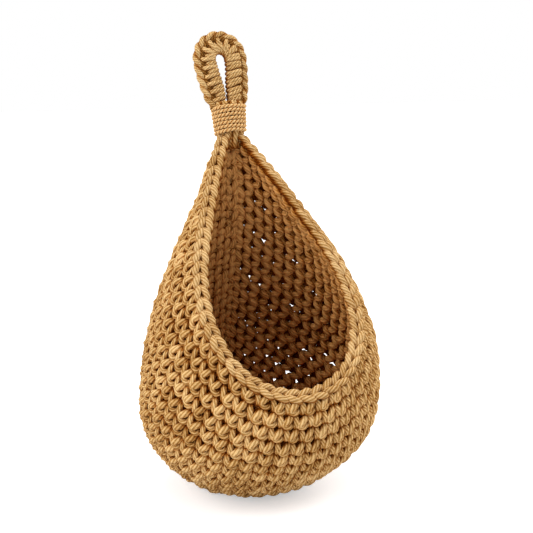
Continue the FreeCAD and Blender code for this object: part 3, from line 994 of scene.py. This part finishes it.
@dataclass
class Loop:
    """The hanging loop: cord wrapped across a bent strap, with a chain along its outer edge.

    Every other wrap is short, up to a share of the strap's length. A wrap slants on the legs and less on the bow,
    and leans towards its pair. Where the strap's bend starts and ends is worked out from two heights on the neck's
    axis, but nothing more is done with these points.
    """

    neck: Neck
    foot_height: float = 24.0
    foot_straight: float = 4
    bow_height: float = 68.5
    outer: float = 25.0
    outer_foot: float = 18.8
    eye: float = 3.9
    slit: float = 0.4
    eye_low: float = 38.0
    edge_points: int = 120
    lean: float = 4.4
    lean_heights: Pair = (28, 48)
    lean_centre: float = 34
    offset: float = -1.3
    bend_heights: Pair = (28.0, 42.0)
    chain_room: float = 5.6
    thickness: float = 12.0
    # Painted crevice shade darkens the wraps' edges.
    cord: Cord = Cord(width=4.2, corners=8, ply_turn=18.0, painted_crevice_shade=PaintedCreviceShade(
        low=0.2, high=3.4, tone=1.7, turned=-0.3, both=True))
    wraps: int = 37
    wrap_rings: int = 26
    wrap_power: float = 0.72
    short: float = 0.27
    short_end: Pair = (0.55, 0.66)
    slant: Pair = (5.5, 2.0)
    slant_heights: Pair = (-14, 2)
    pairing: float = 0.8
    wobble: Pair = (0, 0.35)
    wobble_depth: float = 0.3
    wobble_width: float = 0.05
    # The mean tone of 0.4 is painted light: it lifts the loop's cord above the pocket's.
    tone: Pair = (0.4, 0.3)
    core_points: int = 70
    core_places: Triple = (0.3, 0.6, 0.9)
    core_cord: Cord = Cord(width=6.6, corners=10, ply_turn=14.0)
    chain_points: int = 360
    # Painted crevice shade darkens the chain's legs where they turn away.
    chain_cord: Cord = Cord(width=4.8, corners=9, ply_turn=22.0, painted_crevice_shade=PaintedCreviceShade(
        low=0.2, high=2.6, tone=1.8, turned=-0.8, facing=0.4))
    chain_legs: int = 2
    chain_offset: float = 1.4
    chain_lay: float = 19.0
    chain_seat: float = 3.6
    chain_tuck: float = 3.0
    tuck_heights: Pair = (1, 9)
    waver: Pair = (0, 0.25)
    waver_step: float = 6
    tone_step: float = 10
    seed: int = 23

    def strap(self, count: int) -> tuple[Array, Array, Array]:
        """The strap's inner edge, from the left foot over the bow to the right foot, and its width.

        On a leg the half width follows a quarter sine from the foot to the bow, and the eye's half width a smooth
        step from the slit. On the bow both are half circles.

        Args:
            count: points wanted.

        Returns:
            Inner points across and up, directions to the outer edge, and widths.
        """
        z = np.linspace(self.foot_height, self.bow_height, self.edge_points)[:-1]
        start = self.foot_height + self.foot_straight
        rise = np.clip((z - start) / (self.bow_height - start), 0, 1)
        half = self.outer_foot + (self.outer - self.outer_foot) * np.sin(np.pi / 2 * rise)
        eye = self.slit + (self.eye - self.slit) * smooth(z, self.eye_low, self.bow_height)
        angle = np.linspace(np.pi, 0, self.edge_points)
        arc = np.stack([np.cos(angle), np.sin(angle)], -1)
        bow = np.array([0, self.bow_height])
        left = [np.stack([-edge, z], -1) for edge in (eye, half)]
        curves = [np.concatenate([side, bow + r * arc, side[::-1] * (-1, 1)])
                  for side, r in zip(left, (self.eye, self.outer))]
        run = run_along((curves[0] + curves[1]) / 2)
        wanted = np.linspace(0, run[-1], count)
        inner, outer = (np.stack([np.interp(wanted, run, c[:, i]) for i in (0, 1)], -1) for c in curves)
        return inner, unit(outer - inner), np.linalg.norm(outer - inner, axis=1)

    def leaned(self, flat: Array, depth: Array | float = 0.0) -> Array:
        """Leans the strap to the left about its foot.

        Args:
            flat: points across and up the upright strap.
            depth: how far back they lie.

        Returns:
            The points in the neck's directions.
        """
        turn = math.radians(self.lean) * smooth(flat[:, 1], *self.lean_heights)
        up = flat[:, 1] - self.lean_centre
        x = flat[:, 0] * np.cos(turn) - up * np.sin(turn)
        z = self.lean_centre + up * np.cos(turn) + flat[:, 0] * np.sin(turn)
        return np.stack([x + self.offset, depth + 0 * x, z], -1)

    def wrapped(self) -> Mesh:
        """The cord that goes round and round the strap.

        Across the strap the cord goes as the cosine of its turn and through it as the sine, both a little squared,
        while the strap goes on from foot to foot.

        Returns:
            The mesh.
        """
        steps = self.wraps * self.wrap_rings
        inner, toward, width = self.strap(steps)
        step = np.arange(steps)
        turn = FULL_TURN * step / self.wrap_rings
        draw = np.random.default_rng(self.seed)
        wobble = wandering(draw, step, self.wrap_rings / 2, spare=0, spread=self.wobble)

        def squared(values: Array) -> Array:
            """Flattens a wave's tops."""
            return np.sign(values) * np.abs(values) ** self.wrap_power

        room = width - self.chain_room
        odd = step // self.wrap_rings % 2
        reach = room * (1 - self.short * odd * (1 - smooth(step / steps, *self.short_end)))
        across = reach / 2 - (reach - self.cord.width) / 2 * squared(np.cos(turn))
        depth = ((self.thickness - self.cord.width) / 2 + self.wobble_depth * wobble) * squared(np.sin(turn))
        forward = np.stack([toward[:, 1], -toward[:, 0]], -1)
        leg, bow = self.slant
        slant = leg + (bow - leg) * smooth(inner[:, 1] - self.bow_height, *self.slant_heights)
        ahead = wobble - slant * (across / room - 0.5) + self.pairing * (1 - 2 * odd) * across / room
        flat = inner + toward * across[:, None] + forward * ahead[:, None]
        flat[:, 1] = np.maximum(flat[:, 1], self.foot_height)
        line = self.leaned(flat, -depth)
        middle = self.leaned(inner + toward * (room / 2)[:, None])
        tone = np.repeat(draw.normal(*self.tone, self.wraps), self.wrap_rings)
        facing = np.tile([0.0, -1.0, 0.0], (steps, 1))
        return self.cord.laid(line, line - middle, self.leaned(flat), facing, 1 + self.wobble_width * wobble, tone)

    def core(self) -> Mesh:
        """The strap's inside, which closes the spaces between the wraps: three tubes side by side along the strap,
        painted dark as shade.

        Returns:
            The mesh.
        """
        inner, toward, width = self.strap(self.core_points)
        side = np.tile([0.0, 1.0, 0.0], (self.core_points, 1))
        lines = [self.leaned(inner + toward * (share * (width - self.chain_room))[:, None])
                 for share in self.core_places]
        return Mesh.joined([self.core_cord.laid(line, side, tones_and_painted_shade=HIDDEN_PAINTED_SHADE) for line in lines])

    def edged(self) -> Mesh:
        """The chain along the loop's outer edge, whose two legs go round each other.

        Each leg goes round the edge's line once in the lay's length, half a turn after the other one.

        Returns:
            The mesh.
        """
        inner, toward, width = self.strap(self.chain_points)
        outer = inner + toward * width[:, None]
        tuck = self.chain_tuck * (1 - smooth(outer[:, 1:] - self.foot_height, *self.tuck_heights))
        seat = outer - toward * (self.chain_seat + tuck)
        line = self.leaned(seat)
        out = unit(self.leaned(seat + toward) - line)
        wide = unit(np.cross(out, np.gradient(line, axis=0)))
        run = run_along(line)
        draw = np.random.default_rng(self.seed + 1)
        waver = wandering(draw, run, self.waver_step, spare=2, spread=self.waver)
        meshes = []
        for leg in range(self.chain_legs):
            turn = (FULL_TURN * (run / self.chain_lay + leg / self.chain_legs) + waver)[:, None]
            spoke = np.cos(turn) * out + np.sin(turn) * wide
            tones_and_painted_shade = wandering(draw, run, self.tone_step, spare=1, spread=self.tone)
            meshes.append(self.chain_cord.laid(line + self.chain_offset * spoke, spoke, line, tones_and_painted_shade=tones_and_painted_shade))
        return Mesh.joined(meshes)

    def bend(self) -> list[Triple]:
        """Where the bend of the strap starts and ends, in metres."""
        return [tuple(self.neck.placed(np.array([[0, 0, z]]))[0] * MM) for z in self.bend_heights]

    def built(self) -> list[bpy.types.Object]:
        """Makes the strap and its edge chain."""
        wraps, edge = (self.neck.joined(meshes) for meshes in ([self.wrapped(), self.core()], [self.edged()]))
        return [dressed(wraps, "loop_wraps", Slot.LOOP, "loop_strap"),
                dressed(edge, "loop_chain", Slot.LOOP, "loop_edge_chain")]


def operator(operation: str, reflected: bool = False) -> Callable[["Value", Any], "Value"]:
    """A method that adds the Math node of an operator.

    Args:
        operation: the node's operation.
        reflected: whether the method is for the operator's reflected form.

    Returns:
        The method.
    """
    def applied(value: "Value", other: Any) -> "Value":
        """The result of the Math node."""
        return value.maths(operation, *((other, value) if reflected else (value, other)))

    return applied


class Value:
    """A socket of a shader tree that stands in Python expressions and adds a Math node for each operation."""

    def __init__(self, tree: "ShaderTree", socket: bpy.types.NodeSocket) -> None:
        """Keeps the tree and the socket."""
        self.tree = tree
        self.socket = socket

    def maths(self, operation: str, *values: Any) -> "Value":
        """The result of a Math node on these values."""
        return self.tree.value("ShaderNodeMath", {"operation": operation}, dict(enumerate(values)))

    __add__, __radd__ = operator("ADD"), operator("ADD", reflected=True)
    __sub__, __rsub__ = operator("SUBTRACT"), operator("SUBTRACT", reflected=True)
    __mul__, __rmul__ = operator("MULTIPLY"), operator("MULTIPLY", reflected=True)
    __pow__ = operator("POWER")

    def wave(self) -> "Value":
        """Sine, brought between nought and one."""
        return self.maths("SINE", self) * 0.5 + 0.5

    def clamped(self) -> "Value":
        """Kept between nought and one."""
        return self.maths("MINIMUM", self.maths("MAXIMUM", self, 0.0), 1.0)


class ShaderTree:
    """A node tree that takes nodes by type, settings and inputs."""

    def __init__(self, tree: bpy.types.NodeTree) -> None:
        """Empties the tree."""
        self.tree = tree
        tree.nodes.clear()

    def node(self, kind: str, settings: dict[str, Any], inputs: dict[Any, Any]) -> bpy.types.Node:
        """Adds a node.

        Args:
            kind: the node's type.
            settings: its own properties, and "stops" for a ramp's places and colours.
            inputs: values, sockets or Values by the socket's name or number.

        Returns:
            The node.
        """
        made = self.tree.nodes.new(kind)
        for name, value in settings.items():
            if name == "stops":
                elements = made.color_ramp.elements
                while len(elements) < len(value):
                    elements.new(0.5)
                for element, (place, colour) in zip(elements, value):
                    element.position, element.color = place, (*colour, 1)
            else:
                setattr(made, name, value)
        for name, value in inputs.items():
            socket = made.inputs[name]
            source = value.socket if isinstance(value, Value) else value
            if isinstance(source, bpy.types.NodeSocket):
                self.tree.links.new(source, socket)
            else:
                socket.default_value = source
        return made

    def value(self, kind: str, settings: dict[str, Any], inputs: dict[Any, Any], output: Any = 0) -> Value:
        """Adds a node and gives one of its outputs."""
        return Value(self, self.node(kind, settings, inputs).outputs[output])

    def seen(self) -> Value:
        """One where the camera looks, straight or by a gloss or through glass, and nought for other light."""
        path = self.node("ShaderNodeLightPath", {}, {})
        camera, glossy, through = (Value(self, path.outputs[f"Is {ray} Ray"])
                                   for ray in ("Camera", "Glossy", "Transmission"))
        return (camera + glossy + through).clamped()


@dataclass(frozen=True)
class CordFinish:
    """Matt plant-fibre cord of twisted plies.

    The parts of the shade say how much the plies, the fibres, the stitch's tone with its painted shade and light,
    and the wide and fine noise change it. A break is how far a noise moves the lines, and relief parts are shares
    of the plies' height.

    Args:
        name: the material's name.
        pale: colour of the plies' backs.
        deep: colour of the painted shade between the plies and in the work's depths, and of darker lengths.
        ridges: plies seen round the cord.
        relief: how deep the lines between plies are, in millimetres.
        roughness: of the fibres.
        painted_shade_tint: tint of the painted warm shade, a factor on the colour in the depths of the work and on
            its inward side.
        gloss: colour of the fibres' faint gloss and sheen.
    """

    name: str
    pale: Triple = (0.88, 0.585, 0.265)
    deep: Triple = (0.16, 0.05, 0.005)
    ridges: int = 6
    relief: float = 0.55
    roughness: float = 0.82
    painted_shade_tint: Triple = (0.80, 0.42, 0.07)
    gloss: Triple = (0.9, 0.55, 0.22)
    wide_scale: float = 38.0
    fine_scale: float = 620.0
    ply_break: float = 2.2
    ply_power: float = 0.8
    fibre_lines: int = 4
    fibre_break_fine: float = 9.0
    fibre_break_wide: float = 5.0
    shade_base: float = 0.28
    shade_plies: float = 0.54
    shade_fibres: float = 0.12
    shade_tone: float = 0.25
    shade_noise: float = 0.5
    fine_middle: float = 0.42
    mid_place: float = 0.45
    mid_deep: float = 0.4
    relief_fibres: float = 0.22
    relief_fine: float = 0.5
    rough_fine: float = 0.14
    specular: float = 0.08
    sheen: float = 0.03

    @cache
    def material(self) -> bpy.types.Material:
        """Builds the cord's material, once.

        The plies are a sine of the turns along the cord plus the share of a turn round it, times the number of
        plies. Finer fibres are a sine of many more lines, broken by a noise. The colour goes from deep to pale by
        the plies, the fibres, the stitch's tone with its painted shade and light, and a wide noise. It is then
        multiplied towards the painted shade tint by the painted warm shade.

        Returns:
            The material.
        """
        made = bpy.data.materials.new(self.name)
        made.use_nodes = True
        tree = ShaderTree(made.node_tree)
        uv = tree.node("ShaderNodeUVMap", {"uv_map": CORD_MAP}, {}).outputs[0]
        split = tree.node("ShaderNodeSeparateXYZ", {}, {0: uv})
        lay = Value(tree, split.outputs[0]) + Value(tree, split.outputs[1])
        places = tree.node("ShaderNodeTexCoord", {}, {}).outputs["Object"]
        tone, warmth = (tree.value("ShaderNodeAttribute", {"attribute_name": title}, {}, "Fac")
                        for title in (TONE_AND_PAINTED_SHADE, PAINTED_SHADE_WARMTH))
        wide = tree.value("ShaderNodeTexNoise", {}, {"Vector": places, "Scale": self.wide_scale, "Detail": 3.0})
        fine = tree.value("ShaderNodeTexNoise", {}, {"Vector": places, "Scale": self.fine_scale, "Detail": 4.0,
                                                     "Roughness": 0.65})
        lines = FULL_TURN * self.ridges
        plies = (lay * lines + self.ply_break * (fine - 0.5)).wave() ** self.ply_power
        fibres = (lay * (lines * self.fibre_lines) + self.fibre_break_fine * fine
                  + self.fibre_break_wide * wide).wave()
        shade = (self.shade_base + self.shade_plies * plies + self.shade_fibres * fibres + self.shade_tone * tone
                 + self.shade_noise * (wide - 0.5) + self.shade_noise * (fine - self.fine_middle)).clamped()
        mid = tuple(d**self.mid_deep * p ** (1 - self.mid_deep) for d, p in zip(self.deep, self.pale))
        stops = ((0.0, self.deep), (self.mid_place, mid), (1.0, self.pale))
        colour = tree.node("ShaderNodeValToRGB", {"stops": stops}, {0: shade}).outputs[0]
        # Painted warm shade: the colour is multiplied towards the tint by the warmth attribute.
        colour = tree.node("ShaderNodeMix", {"data_type": "RGBA", "blend_type": "MULTIPLY"}, {
            0: warmth.clamped(), 6: colour, 7: (*self.painted_shade_tint, 1)}).outputs[2]
        bump = tree.node("ShaderNodeBump", {}, {
            "Strength": 1.0, "Distance": self.relief * MM,
            "Height": plies + self.relief_fibres * fibres + self.relief_fine * fine}).outputs[0]
        surface = tree.node("ShaderNodeBsdfPrincipled", {}, {
            "Base Color": colour, "Roughness": (self.roughness + self.rough_fine * (fine - 0.5)).clamped(),
            "Normal": bump, "Specular IOR Level": self.specular, "Specular Tint": (*self.gloss, 1),
            "Sheen Weight": self.sheen, "Sheen Roughness": 0.5, "Sheen Tint": (*self.gloss, 1)}).outputs[0]
        tree.node("ShaderNodeOutputMaterial", {}, {"Surface": surface})
        return made


FINISHES = {
    Slot.POCKET: CordFinish("pocket_cord"),
    # The edging's pale is darker than the pocket cord's: painted shade that tones down the highlights on the lip.
    Slot.EDGING: CordFinish("edging_cord", pale=(0.77, 0.515, 0.245)),
    Slot.BINDING: CordFinish("binding_cord", pale=(0.90, 0.605, 0.285), ridges=3, relief=0.16),
    Slot.LOOP: CordFinish("loop_cord", ridges=5, relief=0.8),
}


@dataclass(frozen=True)
class Sun:
    """A wide soft light from far away, so that the floor is lit evenly.

    Args:
        name: its name.
        come_from: the direction it comes from.
        strength: light on a surface that faces it.
        angle: how wide it is, in degrees.
    """

    name: str
    come_from: Triple
    strength: float
    angle: float

    def built(self) -> None:
        """Adds the light."""
        light = bpy.data.lights.new(self.name, "SUN")
        light.energy, light.angle = self.strength, math.radians(self.angle)
        linked(self.name, light).rotation_euler = (-Vector(self.come_from)).to_track_quat("-Z", "Y").to_euler()


@dataclass
class Studio:
    """Pale floor, white background, soft lights and the camera."""

    camera_place: Triple = (-327.824, -889.273, 390.274)
    camera_turn: float = -21.176
    camera_drop: float = 11.684
    lens: float = 75.267
    ambient: float = 0.36
    floor_grey: float = 0.82
    floor_glow: float = 0.48
    suns: tuple[Sun, ...] = (
        Sun("left_light", come_from=(-0.9, -0.15, 0.65), strength=2.1, angle=45),
        Sun("right_light", come_from=(0.9, -0.1, 0.65), strength=1.85, angle=45),
        Sun("top_light", come_from=(0.0, -0.2, 0.95), strength=1.2, angle=60))

    def floor(self) -> None:
        """A wide floor that the camera sees a little brighter than it is lit, so that only the shadow shows."""
        mesh = bpy.data.meshes.new("floor")
        corners = [(FLOOR_SIZE * x, FLOOR_SIZE * y, 0) for x, y in ((-1, -1), (1, -1), (1, 1), (-1, 1))]
        mesh.from_pydata(corners, [], [(0, 1, 2, 3)])
        paint = bpy.data.materials.new("pale_floor")
        paint.use_nodes = True
        tree = ShaderTree(paint.node_tree)
        matt = tree.node("ShaderNodeBsdfDiffuse", {}, {"Color": (*[self.floor_grey] * 3, 1)}).outputs[0]
        glow = tree.node("ShaderNodeEmission", {}, {"Strength": tree.seen() * self.floor_glow}).outputs[0]
        both = tree.node("ShaderNodeAddShader", {}, {0: matt, 1: glow}).outputs[0]
        tree.node("ShaderNodeOutputMaterial", {}, {"Surface": both})
        mesh.materials.append(paint)
        linked("floor", mesh)

    def world(self) -> None:
        """Even light all round, white to the camera."""
        world = bpy.data.worlds.new("studio")
        bpy.context.scene.world = world
        world.use_nodes = True
        tree = ShaderTree(world.node_tree)
        light = tree.node("ShaderNodeBackground", {}, {
            "Color": (1, 1, 1, 1), "Strength": self.ambient + (1 - self.ambient) * tree.seen()}).outputs[0]
        tree.node("ShaderNodeOutputWorld", {}, {"Surface": light})

    def camera(self) -> None:
        """The camera, at the photograph's viewing angle."""
        turn, drop = math.radians(self.camera_turn), math.radians(self.camera_drop)
        ahead = Vector((-math.cos(drop) * math.sin(turn), math.cos(drop) * math.cos(turn), -math.sin(drop)))
        data = bpy.data.cameras.new("camera")
        data.lens, data.sensor_width = self.lens, SENSOR_WIDTH
        made = linked("camera", data)
        made.location = Vector(self.camera_place) * MM
        made.rotation_euler = ahead.to_track_quat("-Z", "Y").to_euler()
        bpy.context.scene.camera = made

    def built(self) -> None:
        """Makes everything round the object."""
        self.floor()
        self.world()
        for sun in self.suns:
            sun.built()
        self.camera()
        bpy.context.scene.view_settings.view_transform = "Standard"


def main() -> None:
    """Builds the basket's pieces in order, then the studio."""
    logging.basicConfig(level=logging.INFO, format="%(name)s %(message)s")
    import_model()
    fabric, neck = Fabric(PocketForm()), Neck()
    LOG.info("round lengths: %s", np.round(fabric.lengths()).astype(int).tolist())
    for piece in (*Pocket(fabric).built(), Edging(fabric, neck).built(), Gather(neck).built(), Binding(neck).built()):
        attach(piece, Body.BASKET.value)
    loop = Loop(neck)
    start, end = loop.bend()
    for piece in loop.built():
        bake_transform(piece)
        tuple(start)
        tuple(end)
    Studio().built()


if __name__ == "__main__":
    main()
